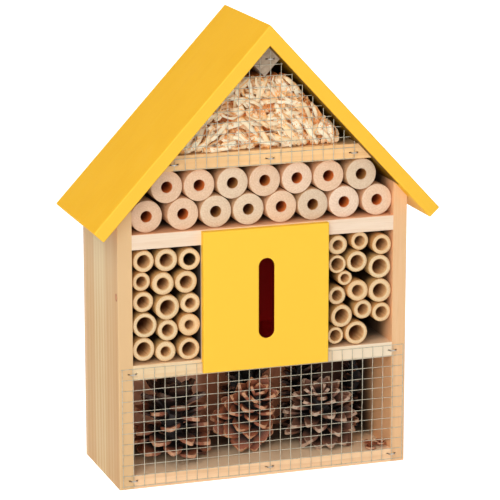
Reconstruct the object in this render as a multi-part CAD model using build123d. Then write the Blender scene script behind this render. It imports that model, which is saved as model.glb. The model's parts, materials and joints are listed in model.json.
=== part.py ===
from build123d import *
from math import cos, hypot, radians, sin, sqrt, tan
import os

# Insect hotel: a gabled wooden house that holds nesting canes, drilled logs, cones and shavings.
# Frame: +X to the right, +Y to the back, +Z up, origin on the ground under the middle of the
# whole object. All lengths are in millimetres and all angles in degrees.

# Boards of the body. From the ground up: the space for cones, the space for canes, the logs, whose
# rows set the gable shelf's height, and the gable. The walls end a little above the upper shelf.
body_width = 175.0
board_depth = 68.0
wall_thickness = 8.5
wall_head = 10.64
bottom_thickness = 8.0
shelf_thickness = 8.7
cone_space = 56.7
cane_space = 67.6
back_thickness = 4.0
board_edge_radius = 0.5

# Roof boards and the square batten that joins them in the ridge
roof_slope = 47.1
roof_thickness = 8.0
eave_overhang = 16.31
roof_overhang = 10.0
paint_edge_radius = 0.7
batten_side = 12.9
batten_corner_cut = 2.4

# Front panel with its slot, and the chamber's dividers behind it. The panel covers the front edges
# of both shelves, but for a margin at its foot and its head.
panel_width = 76.0
panel_foot_margin = 1.4
panel_head_margin = 0.6
panel_thickness = 4.0
slot_width = 9.2
slot_height = 47.0
divider_thickness = 7.0

# Welded wire nets
wire_pitch = 6.35
wire_diameter = 0.65
net_thickness = 1.2
lower_net_rise = 1.5
gable_net_end_gap = 9.6
gable_net_margin = 0.2
gable_net_roof_gap = 0.4
least_gap_area_share = 0.12

# Staples that hold the nets
staple_width = 5.6
staple_leg = 7.0
staple_wire = 0.75
staple_hole_gap = 0.05

# Nails that hold the back
nail_head_radius = 1.7
nail_head_thickness = 0.7
nail_radius = 0.6
nail_length = 14.0
nail_hole_gap = 0.05
wall_nail_shares = (0.08, 0.42, 0.76, 0.97)

# Hole near the top of the back, for a screw head or a cord
hanging_hole_radius = 4.0
hanging_hole_drop = 15.0

# Drilled logs: a lower row spread from wall to wall, and an upper one that lies in its valleys.
# The shares give each log's diameter against the usual one, from left to right, how the spare
# width is shared out between the lower ones, and how far each upper one leans across its valley.
log_diameter = 18.65
log_head_gap = 0.15
log_bore_radius = 3.25
log_bore_depth = 52.0
log_recess = 2.5
log_chamfer = 0.35
log_lower_shares = (1.0, 0.995, 1.0, 0.99, 1.0, 0.985, 1.0, 0.99)
log_upper_shares = (0.995, 0.985, 0.99, 1.0, 0.99, 0.985, 0.99)
log_gap_shares = (2.6, 0.6, 0.7, 0.9, 0.4, 0.3, 1.4)
log_lean_shares = (0.45, 0, 0.2, 0, -0.2, 0, 0.15)

# Canes of each side, in the order in which they are laid. Their usual diameter is that of which a
# number of columns and of rows fill the free width and height. Each row is a cane's place across,
# the least height at which it is wedged, its diameter, its bore and its recess, as shares of the
# free width, the free height, the usual diameter, the cane's own diameter and the usual recess.
cane_columns = 3
cane_rows = 5
cane_fill_share = 0.9615
cane_recess = 1.5
cane_bore_depth = 48.0
cane_chamfer = 0.3
cane_left_shares = (
    (0.00, 0.026, 1.045, 0.62, 0.90), (0.485, 0, 0.94, 0.47, 1.20), (0.985, 0, 1.015, 0.63, 0.70),
    (0.01, 0, 1.115, 0.67, 0.60), (0.535, 0, 0.955, 0.55, 1.30), (1.00, 0, 1.015, 0.42, 1.00),
    (0.02, 0, 0.955, 0.57, 1.10), (0.52, 0, 1.135, 0.60, 0.50), (1.00, 0, 0.92, 0.50, 1.05),
    (0.02, 0, 0.84, 0.57, 1.50), (0.43, 0, 1.03, 0.52, 0.80), (0.94, 0, 1.04, 0.55, 1.00),
    (0.03, 0, 0.98, 0.59, 1.00), (0.515, 0, 1.04, 0.56, 1.40), (1.00, 0, 1.00, 0.56, 0.60),
)
cane_right_shares = (
    (0.04, 0.018, 0.78, 0.65, 1.20), (0.45, 0, 1.08, 0.66, 0.70), (1.00, 0.18, 0.91, 0.59, 1.05),
    (0.11, 0, 1.06, 0.62, 0.80), (0.60, 0, 0.88, 0.57, 1.20), (0.06, 0, 0.85, 0.57, 1.50),
    (0.475, 0, 1.00, 0.52, 0.70), (1.00, 0, 1.10, 0.58, 0.90), (0.235, 0, 0.68, 0.57, 1.30),
    (0.055, 0, 0.83, 0.68, 1.00), (0.449, 0, 0.98, 0.61, 0.60), (0.985, 0, 1.09, 0.63, 1.00),
    (0.05, 0, 0.90, 0.51, 1.05), (0.52, 0, 0.845, 0.57, 1.40), (0.99, 0, 0.94, 0.60, 0.70),
)

# Pine cones that stand on the bottom board. Their usual width is a share of the free width or of
# the depth. The tiers' reach is given from the lowest tier up, against half the cone's width, and
# the outlines of the core and of one scale against the half width and height, and against the
# scale's reach and width.
cone_across_share = 0.2912
cone_deep_share = 0.6765
cone_scale_thickness = 1.5
cone_scale_width_share = 0.2826
cone_scales = 8
cone_low_angle = 4.0
cone_high_angle = 68.0
cone_low_tier_share = 0.05
cone_high_tier_share = 0.72
cone_tip_width_share = 0.5
cone_reach_shares = (0.84, 1.0, 0.98, 0.90, 0.78, 0.63, 0.47, 0.30)
cone_core_shares = ((0, 0), (0.36, 0), (0.46, 0.33), (0.28, 0.75), (0, 0.92))
cone_root_share = 0.75
cone_scale_shares = ((0, 0.16), (0.62, 0.5), (0.9, 0.42), (1, 0.2))

# Each cone's place across and back, its width, its depth, its height and its turn, as shares of the
# free width, the depth, the usual width, its own width, the free height and a full turn: three
# stand in front, and three flatter ones are squeezed in behind them.
cone_place_shares = (
    (0.193, 0.38, 1.06, 1, 0.92, 0.00), (0.475, 0.33, 0.90, 1, 0.92, 0.13),
    (0.778, 0.37, 1.02, 1, 0.80, 0.29), (0.540, 0.815, 0.78, 0.62, 0.96, 0.02),
    (0.788, 0.865, 0.74, 0.42, 0.95, 0.06), (0.946, 0.70, 0.34, 1.70, 0.93, 0.04),
)

# Wood shavings on the gable shelf: a heap that has slumped away from the roof at its right, with
# curls on its front. The heap's edge is a share of the free half width, below and at the top.
heap_recess = 7.0
heap_depth = 50.0
heap_roof_gap = 1.2
heap_foot_share = 0.78
heap_shoulder_share = 0.5
curl_radius = 4.8
curl_width = 6.5
curl_thickness = 0.9
curl_spacing = 10.0
curl_sink = 1.4
curl_opening_angle = 120.0
curl_turn_step = 137
curl_row_turn = 71

# Clearances and the overrun of every cut
seat_gap = 0.15
panel_net_gap = 0.1
overrun = 2.0

# Planes and heights that follow from the sizes above
slope = radians(roof_slope)
roof_depth = roof_overhang + board_depth + back_thickness
roof_front = -roof_depth / 2
body_front = roof_front + roof_overhang
back_front = body_front + board_depth
body_back = roof_depth / 2
wall_outside = body_width / 2
wall_inside = wall_outside - wall_thickness
divider_outside = panel_width / 2
lower_shelf_rise = bottom_thickness + cone_space
lower_shelf_top = lower_shelf_rise + shelf_thickness
upper_shelf_rise = lower_shelf_top + cane_space
upper_shelf_top = upper_shelf_rise + shelf_thickness
wall_height = upper_shelf_top + wall_head
roof_underside_apex = wall_height + wall_outside * tan(slope)
roof_reach = wall_outside + eave_overhang
panel_rise = lower_shelf_rise + panel_foot_margin
panel_top = upper_shelf_top - panel_head_margin
slot_middle = (panel_rise + panel_top) / 2
cane_bay = wall_inside - divider_outside
cane_diameter = cane_fill_share * min(cane_bay / cane_columns, cane_space / cane_rows)
cone_width = min(cone_across_share * 2 * wall_inside, cone_deep_share * board_depth)
lower_net_columns = int((body_width - wire_diameter) / wire_pitch)
lower_net_rows = int((lower_shelf_top - lower_net_rise - wire_diameter) / wire_pitch)
lower_net_width = lower_net_columns * wire_pitch + wire_diameter
lower_net_top = lower_net_rise + lower_net_rows * wire_pitch + wire_diameter
batten_middle = roof_underside_apex - batten_side * sin(slope)
batten_foot = roof_underside_apex - 2 * batten_side * sin(slope)
hanging_hole_rise = batten_foot - hanging_hole_drop


def under_roof(x):
    """Height of the roof's underside at a place across."""
    return roof_underside_apex - abs(x) * tan(slope)


def half_width_at(z, gap=0):
    """Half the free width under the roof at a height, less a gap square to the roof."""
    return (roof_underside_apex - z) / tan(slope) - gap / sin(slope)


def board(low, high):
    """A square-edged board between two opposite corners."""
    size = [b - a for a, b in zip(low, high)]
    middle = [(a + b) / 2 for a, b in zip(low, high)]
    return Pos(*middle) * Box(*size)


def profile(points, front, back):
    """An upright outline, given across and up, carried from one depth to another."""
    face = Face(Wire.make_polygon([(x, front, z) for x, z in points], close=True))
    return Solid.extrude(face, Vector(0, back - front, 0))


def rod(radius, front, back, x, z):
    """A round bar that runs from front to back."""
    return Pos(x, (front + back) / 2, z) * Rot(90, 0, 0) * Cylinder(radius, back - front)


def wall(side):
    """A side wall, whose top is cut to the roof's slope."""
    outline = [
        (side * wall_inside, 0),
        (side * wall_outside, 0),
        (side * wall_outside, wall_height),
        (side * wall_inside, under_roof(wall_inside)),
    ]
    solid = profile(outline, body_front, back_front)
    upright = solid.edges().filter_by(Axis.Z)
    corner = [e for e in upright if e.center().Y < 0 and abs(e.center().X) > wall_inside]
    return fillet(corner, board_edge_radius)


def shelf(rise, thickness):
    """A level board between the two walls."""
    low = (-wall_inside, body_front, rise)
    return board(low, (wall_inside, back_front, rise + thickness))


def gable_shelf():
    """The top shelf, whose ends are cut to the roof's slope."""
    foot = half_width_at(gable_shelf_rise)
    head = half_width_at(gable_shelf_top)
    outline = [(-foot, gable_shelf_rise), (foot, gable_shelf_rise)]
    outline += [(head, gable_shelf_top), (-head, gable_shelf_top)]
    return profile(outline, body_front, back_front)


def roof_board(side):
    """One slope of the roof, mitred where it meets the other at the ridge."""
    ridge = roof_underside_apex + roof_thickness / cos(slope)
    eave = (roof_reach, ridge - roof_reach * tan(slope))
    lip = (eave[0] - roof_thickness * sin(slope), eave[1] - roof_thickness * cos(slope))
    outline = [(0, roof_underside_apex), (0, ridge)]
    outline += [(side * x, z) for x, z in (eave, lip)]
    solid = profile(outline, roof_front, body_back)
    edges = [e for e in solid.edges() if abs(e.center().X) > roof_thickness]
    return fillet(edges, paint_edge_radius)


def ridge_batten():
    """A square stick in the corner of the ridge, with its top corner planed off."""
    across = batten_side * cos(slope)
    drop = batten_side * sin(slope)
    cut = batten_corner_cut * cos(slope)
    cut_drop = batten_corner_cut * sin(slope)
    outline = [
        (-cut, roof_underside_apex - cut_drop),
        (cut, roof_underside_apex - cut_drop),
        (across, roof_underside_apex - drop),
        (0, batten_foot),
        (-across, roof_underside_apex - drop),
    ]
    return profile(outline, body_front, back_front)


def back_panel():
    """The thin back, cut to the body's outline, with a round hole to hang it by."""
    outline = [(-wall_outside, 0), (wall_outside, 0)]
    outline += [(wall_outside, wall_height), (0, roof_underside_apex), (-wall_outside, wall_height)]
    solid = profile(outline, back_front, body_back)
    hole = rod(hanging_hole_radius, back_front - overrun, body_back + overrun, 0, hanging_hole_rise)
    return solid - hole


def front_panel():
    """The painted panel with its upright slot, let in at the back over the lower net."""
    front = body_front - panel_thickness
    half = panel_width / 2
    solid = board((-half, front, panel_rise), (half, body_front, panel_top))
    radius = slot_width / 2
    straight = slot_height / 2 - radius
    back = body_front + overrun
    low = (-radius, front - overrun, slot_middle - straight)
    solid -= board(low, (radius, back, slot_middle + straight))
    for z in (slot_middle - straight, slot_middle + straight):
        solid -= rod(radius, front - overrun, back, 0, z)
    solid = fillet(solid.edges().group_by(Axis.Y)[0], paint_edge_radius)
    relief_front = body_front - net_thickness - panel_net_gap
    low = (-half - overrun, relief_front, panel_rise - overrun)
    return solid - board(low, (half + overrun, back, lower_net_top + panel_net_gap))


def divider(side):
    """An upright board of the chamber behind the front panel."""
    low, high = sorted((side * divider_outside, side * (divider_outside - divider_thickness)))
    return board((low, body_front, lower_shelf_top), (high, back_front, upper_shelf_rise))


def net_cell(x, z):
    """The outline of one gap of a net, between its wires, from the gap's middle."""
    half = (wire_pitch - wire_diameter) / 2
    corners = [(x - half, z - half), (x + half, z - half), (x + half, z + half), (x - half, z + half)]
    return Wire.make_polygon([(a, body_front, b) for a, b in corners], close=True)


def wire_across(columns, number):
    """Place across of an upright wire, counted from the left."""
    return (number - columns / 2) * wire_pitch


def gap_rise(foot, row):
    """Height of the middle of a row of gaps, counted from the net's foot."""
    return foot + (wire_diameter + wire_pitch) / 2 + row * wire_pitch


def lower_net():
    """The welded net over the bottom space."""
    half = lower_net_width / 2
    corners = [(-half, lower_net_rise), (half, lower_net_rise)]
    corners += [(half, lower_net_top), (-half, lower_net_top)]
    outline = Wire.make_polygon([(x, body_front, z) for x, z in corners], close=True)
    gaps = []
    for column in range(lower_net_columns):
        x = wire_across(lower_net_columns, column + 1 / 2)
        for row in range(lower_net_rows):
            gaps.append(net_cell(x, gap_rise(lower_net_rise, row)))
    return Solid.extrude(Face(outline, gaps), Vector(0, -net_thickness, 0))


def gable_outline(margin):
    """The gable net's outline, or the line that lies inside it by a margin."""
    foot = gable_net_foot + margin
    top = roof_underside_apex - (gable_net_roof_gap + margin) / cos(slope)
    side = (gable_net_columns * wire_pitch + wire_diameter) / 2 - margin
    side = min(side, (top - foot) / tan(slope))
    shoulder = top - side * tan(slope)
    corners = [(-side, foot), (side, foot), (side, shoulder), (0, top), (-side, shoulder)]
    return Wire.make_polygon([(x, body_front, z) for x, z in corners], close=True)


def gable_net():
    """The welded net behind the roof's edge, cut to the gable's triangle."""
    inner = Face(gable_outline(wire_diameter))
    gaps = []
    for column in range(gable_net_columns):
        x = wire_across(gable_net_columns, column + 1 / 2)
        for row in range(gable_net_rows):
            cell = inner & Face(net_cell(x, gap_rise(gable_net_foot, row)))
            for face in cell.faces() if cell else []:
                if face.area > least_gap_area_share * wire_pitch ** 2:
                    gaps.append(face.outer_wire())
    return Solid.extrude(Face(gable_outline(0), gaps), Vector(0, -net_thickness, 0))


def staple(x, z, gap=0):
    """One staple: its crown lies on the net, and its legs go into the wood."""
    net_front = body_front - net_thickness
    half = staple_width / 2
    thick = staple_wire / 2 + gap
    crown = board((x - half, net_front - staple_wire, z - thick), (x + half, net_front, z + thick))
    for side in (-1, 1):
        leg = x + side * (half - staple_wire / 2)
        low = (leg - thick, net_front - staple_wire, z - thick)
        crown += board(low, (leg + thick, body_front + staple_leg + gap, z + thick))
    return crown


def nail(x, z, gap=0):
    """One nail in the back, with its head flush."""
    head = rod(nail_head_radius + gap, body_back - nail_head_thickness, body_back, x, z)
    return head + rod(nail_radius + gap, body_back - nail_length - gap, body_back, x, z)


def rest_height(x, reach, placed, floor):
    """Height at which a round stick comes to rest on the floor or on the sticks below it."""
    z = floor + reach
    for other_x, other_z, other_radius in placed:
        apart = reach + other_radius
        if abs(x - other_x) < apart:
            z = max(z, other_z + sqrt(apart ** 2 - (x - other_x) ** 2))
    return z


def drilled(x, z, radius, bore, recess, depth, chamfer_size):
    """A round stick with a blind bore from its front end, both rims eased."""
    front = body_front + recess
    stick = rod(radius, front, back_front - seat_gap, x, z)
    stick -= rod(bore, front - overrun, front + depth, x, z)
    rims = stick.edges().filter_by(GeomType.CIRCLE).group_by(Axis.Y)[0]
    return chamfer(rims, chamfer_size)


def log_places():
    """Where the logs lie: across, up and radius, for the lower row and for the upper one."""
    count = int(2 * wall_inside / (log_diameter + 2 * seat_gap))
    radii = [log_diameter * log_lower_shares[n % len(log_lower_shares)] / 2 for n in range(count)]
    shares = [log_gap_shares[n % len(log_gap_shares)] for n in range(count - 1)]
    spare = 2 * wall_inside - 2 * sum(radius + seat_gap for radius in radii)
    lower = []
    left = -wall_inside
    for radius, share in zip(radii, shares + [0]):
        reach = radius + seat_gap
        lower.append((left + reach, rest_height(left + reach, reach, [], upper_shelf_top), radius))
        left += 2 * reach + spare * share / max(sum(shares), 1)
    upper = []
    for number, (near, far) in enumerate(zip(lower, lower[1:])):
        radius = log_diameter * log_upper_shares[number % len(log_upper_shares)] / 2
        lean = log_lean_shares[number % len(log_lean_shares)]
        gap = far[0] - near[0] - near[2] - far[2]
        x = (near[0] + far[0] + near[2] - far[2]) / 2 + lean * gap
        upper.append((x, rest_height(x, radius + seat_gap, [near, far], upper_shelf_top), radius))
    return lower, upper


def logs(places):
    """One row of drilled logs."""
    solids = []
    for x, z, radius in places:
        solids.append(drilled(x, z, radius, log_bore_radius, log_recess, log_bore_depth, log_chamfer))
    return Compound(solids)


def cane_places(shares, left, right):
    """Where the canes of one side lie: across, up, radius, bore's radius and recess."""
    placed = []
    canes = []
    for across, wedged, wide, bore, recess in shares:
        radius = cane_diameter * wide / 2
        reach = radius + seat_gap
        x = left + reach + across * (right - left - 2 * reach)
        z = rest_height(x, reach, placed, lower_shelf_top)
        z = max(z, lower_shelf_top + reach + wedged * cane_space)
        if z + reach <= upper_shelf_rise:
            placed.append((x, z, radius))
            canes.append((x, z, radius, radius * bore, cane_recess * recess))
    return canes


def cone_scale(reach, width):
    """One flat scale along +X, narrow at its root and rounded at its tip."""
    side = [(reach * along, width * across) for along, across in cone_scale_shares]
    outline = side + [(x, -y) for x, y in reversed(side)]
    face = Face(Wire.make_polygon([(x, y, 0) for x, y in outline], close=True))
    return Solid.extrude(face, Vector(0, 0, cone_scale_thickness))


def core_radius(share):
    """Radius of a cone's core against half the cone's width, at a share of its height."""
    for (low_across, low), (high_across, high) in zip(cone_core_shares, cone_core_shares[1:]):
        if low <= share < high:
            return low_across + (high_across - low_across) * (share - low) / (high - low)
    return 0


def pine_cone(width, depth, height, start):
    """A pine cone that stands on its stalk end: an egg-shaped core with tiers of scales."""
    slim = min(width, depth) / 2
    core = [(slim * across, 0, height * up) for across, up in cone_core_shares]
    solid = Solid.revolve(Face(Wire.make_polygon(core, close=True)), 360, Axis.Z)
    scales = []
    tiers = len(cone_reach_shares)
    for tier, spread in enumerate(cone_reach_shares):
        share = tier / (tiers - 1)
        lift = cone_low_angle + (cone_high_angle - cone_low_angle) * share
        up = cone_low_tier_share + (cone_high_tier_share - cone_low_tier_share) * share
        root = core_radius(up) * cone_root_share * slim
        across = cone_scale_width_share * width * (1 - cone_tip_width_share * share)
        for step in range(cone_scales):
            turn = 360 * (step + tier / 2) / cone_scales
            faced = radians(turn + start)
            edge = 1 / hypot(cos(faced) * 2 / width, sin(faced) * 2 / depth)
            reach = (spread * edge - root) / cos(radians(lift))
            reach = min(reach, (height * (1 - up) - cone_scale_thickness) / sin(radians(lift)))
            blade = Pos(root, 0, height * up) * Rot(0, -lift, 0) * cone_scale(reach, across)
            scales.append(Rot(0, 0, turn) * blade)
    return Rot(0, 0, start) * solid.fuse(*scales)


def placed_cones():
    """The cones in the bottom space."""
    solids = []
    for across, deep, wide, squeeze, tall, turn in cone_place_shares:
        width = cone_width * wide
        shape = pine_cone(width, width * squeeze, cone_space * tall, 360 * turn)
        x = -wall_inside + across * 2 * wall_inside
        y = body_front + deep * board_depth
        solids.append(Pos(x, y, bottom_thickness + seat_gap) * shape)
    return solids


def curl(x, z, turn):
    """One curled shaving, part sunk in the heap's front, turned about the way it faces."""
    ring = Cylinder(curl_radius, curl_width, arc_size=360 - curl_opening_angle)
    ring -= Cylinder(curl_radius - curl_thickness, curl_width + overrun)
    return Pos(x, body_front + heap_recess - curl_sink, z) * Rot(0, turn, 0) * ring


def shavings():
    """The heap of shavings under the batten, with rows of curls on its front."""
    front = body_front + heap_recess
    top = batten_foot - seat_gap
    foot = half_width_at(gable_shelf_top, heap_roof_gap)
    shoulder = half_width_at(top, heap_roof_gap)
    right_foot = foot * heap_foot_share
    right_top = shoulder * heap_shoulder_share
    outline = [(-foot, gable_shelf_top), (right_foot, gable_shelf_top), (right_top, top), (-shoulder, top)]
    solid = profile(outline, front, front + heap_depth)
    reach = hypot(curl_radius, curl_width / 2)
    curls = []
    rows = int((top - gable_shelf_top) / curl_spacing)
    for row in range(rows):
        share = row / max(rows - 1, 1)
        z = gable_shelf_top + reach + share * (top - gable_shelf_top - 2 * reach)
        left = reach - half_width_at(z + reach, heap_roof_gap)
        right = right_foot + (z - gable_shelf_top) / (top - gable_shelf_top) * (right_top - right_foot)
        count = int((right - left) / curl_spacing) + 1
        for step in range(count):
            x = left + (right - left) * step / max(count - 1, 1)
            curls.append(curl(x, z, step * curl_turn_step + row * curl_row_turn))
    return solid.fuse(*curls)


# The logs carry the gable shelf, and the gable net starts at its foot
lower_logs, upper_logs = log_places()
gable_shelf_rise = max(z + radius for x, z, radius in lower_logs + upper_logs) + log_head_gap
gable_shelf_top = gable_shelf_rise + shelf_thickness
gable_net_foot = gable_shelf_rise + gable_net_margin
gable_net_width = 2 * (half_width_at(gable_net_foot) - gable_net_end_gap)
gable_net_columns = int((gable_net_width - wire_diameter) / wire_pitch)
gable_net_rows = int((roof_underside_apex - gable_net_foot) / wire_pitch)

# Staples, each across a wire and in the middle of a row of gaps
lower_first = gap_rise(lower_net_rise, 0)
lower_last = gap_rise(lower_net_rise, lower_net_rows - 1)
lower_left = wire_across(lower_net_columns, 1)
middle_wire = wire_across(lower_net_columns, (lower_net_columns + 1) // 2)
lower_staples = [(lower_left, lower_first), (middle_wire, lower_first), (-lower_left, lower_first)]
lower_staples += [(lower_left, lower_last), (-lower_left, lower_last)]
gable_first = gap_rise(gable_net_foot, 0)
gable_left = wire_across(gable_net_columns, 0)
gable_middle = wire_across(gable_net_columns, (gable_net_columns + 1) // 2)
batten_row = round((batten_middle - gable_first) / wire_pitch)
gable_staples = [(gable_left, gable_first), (gable_middle, gable_first), (-gable_left, gable_first)]
gable_staples += [(gable_middle, gap_rise(gable_net_foot, batten_row))]

# Nails in the back: one in each level board's middle and a line of them in each wall
nail_places = [(0, bottom_thickness / 2)]
nail_places += [(0, rise + shelf_thickness / 2) for rise in (lower_shelf_rise, upper_shelf_rise)]
for share in wall_nail_shares:
    for side in (-1, 1):
        x = side * (wall_outside - wall_thickness / 2)
        nail_places.append((x, share * wall_height))

# The boards that hold staples and nails, with a hole for each leg and shank
boards = {
    "left_wall": wall(-1),
    "right_wall": wall(1),
    "bottom_board": shelf(0, bottom_thickness),
    "lower_shelf": shelf(lower_shelf_rise, shelf_thickness),
    "upper_shelf": shelf(upper_shelf_rise, shelf_thickness),
    "gable_shelf": gable_shelf(),
    "ridge_batten": ridge_batten(),
    "back_panel": back_panel(),
}
holes = [staple(x, z, staple_hole_gap) for x, z in lower_staples + gable_staples]
holes += [nail(x, z, nail_hole_gap) for x, z in nail_places]
for name, solid in boards.items():
    box = solid.bounding_box()
    for hole in holes:
        if hole.bounding_box().overlaps(box):
            boards[name] = boards[name] - hole

parts = dict(boards)
parts["left_divider"] = divider(-1)
parts["right_divider"] = divider(1)
parts["left_roof_board"] = roof_board(-1)
parts["right_roof_board"] = roof_board(1)
parts["front_panel"] = front_panel()
parts["lower_mesh"] = lower_net()
parts["gable_mesh"] = gable_net()
parts["lower_mesh_staples"] = Compound([staple(x, z) for x, z in lower_staples])
parts["gable_mesh_staples"] = Compound([staple(x, z) for x, z in gable_staples])
parts["back_nails"] = Compound([nail(x, z) for x, z in nail_places])

parts["log_row_lower"] = logs(lower_logs)
parts["log_row_upper"] = logs(upper_logs)
left_canes = cane_places(cane_left_shares, -wall_inside, -divider_outside)
right_canes = cane_places(cane_right_shares, divider_outside, wall_inside)
for side, canes in (("left", left_canes), ("right", right_canes)):
    for number, (x, z, radius, bore, recess) in enumerate(canes, 1):
        name = f"cane_{side}_{number:02d}"
        parts[name] = drilled(x, z, radius, bore, recess, cane_bore_depth, cane_chamfer)
for number, solid in enumerate(placed_cones(), 1):
    parts[f"pine_cone_{number}"] = solid
parts["shavings"] = shavings()

os.makedirs("parts", exist_ok=True)
for name, solid in parts.items():
    export_step(solid, f"parts/{name}.step")
    print(name, round(solid.volume, 1))
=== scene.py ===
import json
from math import atan2, ceil, cos, hypot, pi, radians, sin, tan
from random import Random

import bmesh
import bpy
from mathutils import Matrix, Vector, noise


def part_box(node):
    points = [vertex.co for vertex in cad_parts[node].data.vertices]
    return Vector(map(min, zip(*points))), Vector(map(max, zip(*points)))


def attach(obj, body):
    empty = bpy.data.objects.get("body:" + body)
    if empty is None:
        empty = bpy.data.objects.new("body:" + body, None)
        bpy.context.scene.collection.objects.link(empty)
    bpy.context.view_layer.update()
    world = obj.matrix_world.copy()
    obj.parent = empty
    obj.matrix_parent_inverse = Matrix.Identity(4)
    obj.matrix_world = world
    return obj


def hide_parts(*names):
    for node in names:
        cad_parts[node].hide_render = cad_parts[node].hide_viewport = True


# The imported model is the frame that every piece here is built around. Lengths are in metres:
# +X is to the right, +Y to the back and +Z up.
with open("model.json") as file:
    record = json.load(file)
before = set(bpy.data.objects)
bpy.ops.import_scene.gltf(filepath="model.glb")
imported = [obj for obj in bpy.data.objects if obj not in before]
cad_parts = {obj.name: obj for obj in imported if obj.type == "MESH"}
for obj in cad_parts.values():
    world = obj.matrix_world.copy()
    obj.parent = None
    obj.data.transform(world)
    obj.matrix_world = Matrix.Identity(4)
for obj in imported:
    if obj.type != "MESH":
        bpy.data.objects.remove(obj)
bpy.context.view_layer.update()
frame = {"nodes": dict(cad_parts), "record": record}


# The carcass: two walls, a bottom board, three shelves and two dividers of planed pine, glued edge
# to face, with growth rings showing as soft stripes. The batten in the ridge is rough sawn.
def srgb(red, green, blue):
    """A colour by its screen values from 0 to 255."""
    return tuple((value / 255) ** 2.2 for value in (red, green, blue)) + (1.0,)


class Flow:
    """One output in a material's nodes. Arithmetic on flows adds Math nodes."""

    def __init__(self, socket):
        self.socket = socket

    def node(self, kind, settings=None, values=None, out=0):
        """Adds a node: its settings first, then the values or flows of its sockets."""
        tree = self.socket.id_data
        added = tree.nodes.new("ShaderNode" + kind)
        for name, value in (settings or {}).items():
            if name == "stops":
                stops = added.color_ramp.elements
                while len(stops) < len(value):
                    stops.new(1)
                for stop, (place, colour) in zip(stops, value):
                    stop.position, stop.color = place, colour
            else:
                setattr(added, name, value)
        for name, value in (values or {}).items():
            if isinstance(value, Flow):
                tree.links.new(value.socket, added.inputs[name])
            else:
                added.inputs[name].default_value = value
        return Flow(added.outputs[out])

    def math(self, operation, *others):
        return self.node("Math", {"operation": operation}, dict(enumerate((self, *others))))

    def __add__(self, other):
        return self.math("ADD", other)

    def __sub__(self, other):
        return self.math("SUBTRACT", other)

    def __rsub__(self, other):
        return self * -1 + other

    def __mul__(self, other):
        return self.math("MULTIPLY", other)

    def __truediv__(self, other):
        return self.math("DIVIDE", other)

    def __pow__(self, other):
        return self.math("POWER", other)


def new_finish(name, roughness, metallic=0.0):
    """A material, the flow of its object's coordinates, and its shader."""
    material = bpy.data.materials.new(name)
    material.use_nodes = True
    nodes = material.node_tree.nodes
    shader = nodes["Principled BSDF"]
    shader.inputs["Roughness"].default_value = roughness
    shader.inputs["Metallic"].default_value = metallic
    return material, Flow(nodes.new("ShaderNodeTexCoord").outputs["Object"]), shader


def feed(shader, name, flow):
    """Links a flow to one of the shader's sockets."""
    shader.id_data.links.new(flow.socket, shader.inputs[name])


def part_of(flow, axis):
    """One of a vector's three numbers."""
    return flow.node("SeparateXYZ", None, {0: flow}, axis)


def grainy(where, stretch, detail=2.0):
    """Noise from 0 to 1. Stretch is its number of spots to the metre, or one for each axis."""
    if isinstance(stretch, float):
        stretch = (stretch, stretch, stretch)
    turned = where.node("Mapping", None, {"Vector": where, "Scale": stretch})
    return turned.node("TexNoise", None, {"Vector": turned, "Scale": 1.0, "Detail": detail})


def rise(flow, low, high):
    """A smooth step from 0 to 1 between two values."""
    settings = {"interpolation_type": "SMOOTHSTEP"}
    return flow.node("MapRange", settings, {"Value": flow, "From Min": low, "From Max": high})


def over(mask, under, top):
    """One colour laid over another, as far as a mask says."""
    sockets = {0: mask, 6: under, 7: top}
    return mask.node("Mix", {"data_type": "RGBA"}, sockets, 2)


def bumped(shader, height, strength, depth):
    """Relief of a surface, from a height of 0 to 1."""
    values = {"Height": height, "Strength": strength, "Distance": depth}
    feed(shader, "Normal", height.node("Bump", None, values))


def within(where, low, high):
    """A mask of the block between two corners."""
    mask = None
    for axis, bottom, top in zip("XYZ", low, high):
        place = part_of(where, axis)
        inside = place.math("GREATER_THAN", bottom) * place.math("LESS_THAN", top)
        mask = inside if mask is None else mask * inside
    return mask


# Margins of the box inside the house where painted shade darkens the faces, and of the red chamber.
stain_and_shade_margin = 0.0002
roof_margin = 0.0005
board_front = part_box("left_wall")[0].y
inside_low = Vector((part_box("left_wall")[1].x, board_front - 0.02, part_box("lower_shelf")[1].z))
sheet_low, sheet_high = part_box("back_panel")
slope = radians(47.1)
apex = sheet_high.z
inside_high = Vector((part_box("right_wall")[0].x, sheet_low.y, sheet_high.z + 0.02))
inside_low -= Vector((stain_and_shade_margin, 0, stain_and_shade_margin))
inside_high += Vector((stain_and_shade_margin, stain_and_shade_margin, stain_and_shade_margin))
chamber_low, chamber_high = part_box("left_divider")
chamber_low.x, chamber_high.x = chamber_high.x, -chamber_high.x
chamber_low += Vector((-stain_and_shade_margin, 0, -stain_and_shade_margin))
chamber_high += Vector((stain_and_shade_margin, stain_and_shade_margin, stain_and_shade_margin))
chamber_red = srgb(220, 16, 4)
pine_pale = srgb(245, 217, 180)
pine_ring = srgb(214, 165, 116)
# Painted shade: the dark brown that faces deep inside the house, and the canes' skins between one
# another, are darkened towards.
shade_brown = srgb(40, 22, 12)


def shaded(where, colour, start, reach):
    """Painted shade: darkens the faces inside the house with their depth behind the open front."""
    fall = part_of(where, "X").math("ABSOLUTE") * tan(slope)
    roofed = (part_of(where, "Z") + fall).math("LESS_THAN", apex + roof_margin)
    depth = rise(part_of(where, "Y"), start, start + reach)
    inside = within(where, inside_low, inside_high)
    return over(inside * roofed * depth * 0.85, colour, shade_brown)


def past(axis, start, end, share=1.0):
    """A mask that fades in between two places along an axis."""
    return lambda where: rise(part_of(where, axis), start, end) * share


def top_face(height, share=1.0):
    """A mask of the faces at a height, such as a shelf's top."""
    return past("Z", height - 0.0003, height, share)


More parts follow.
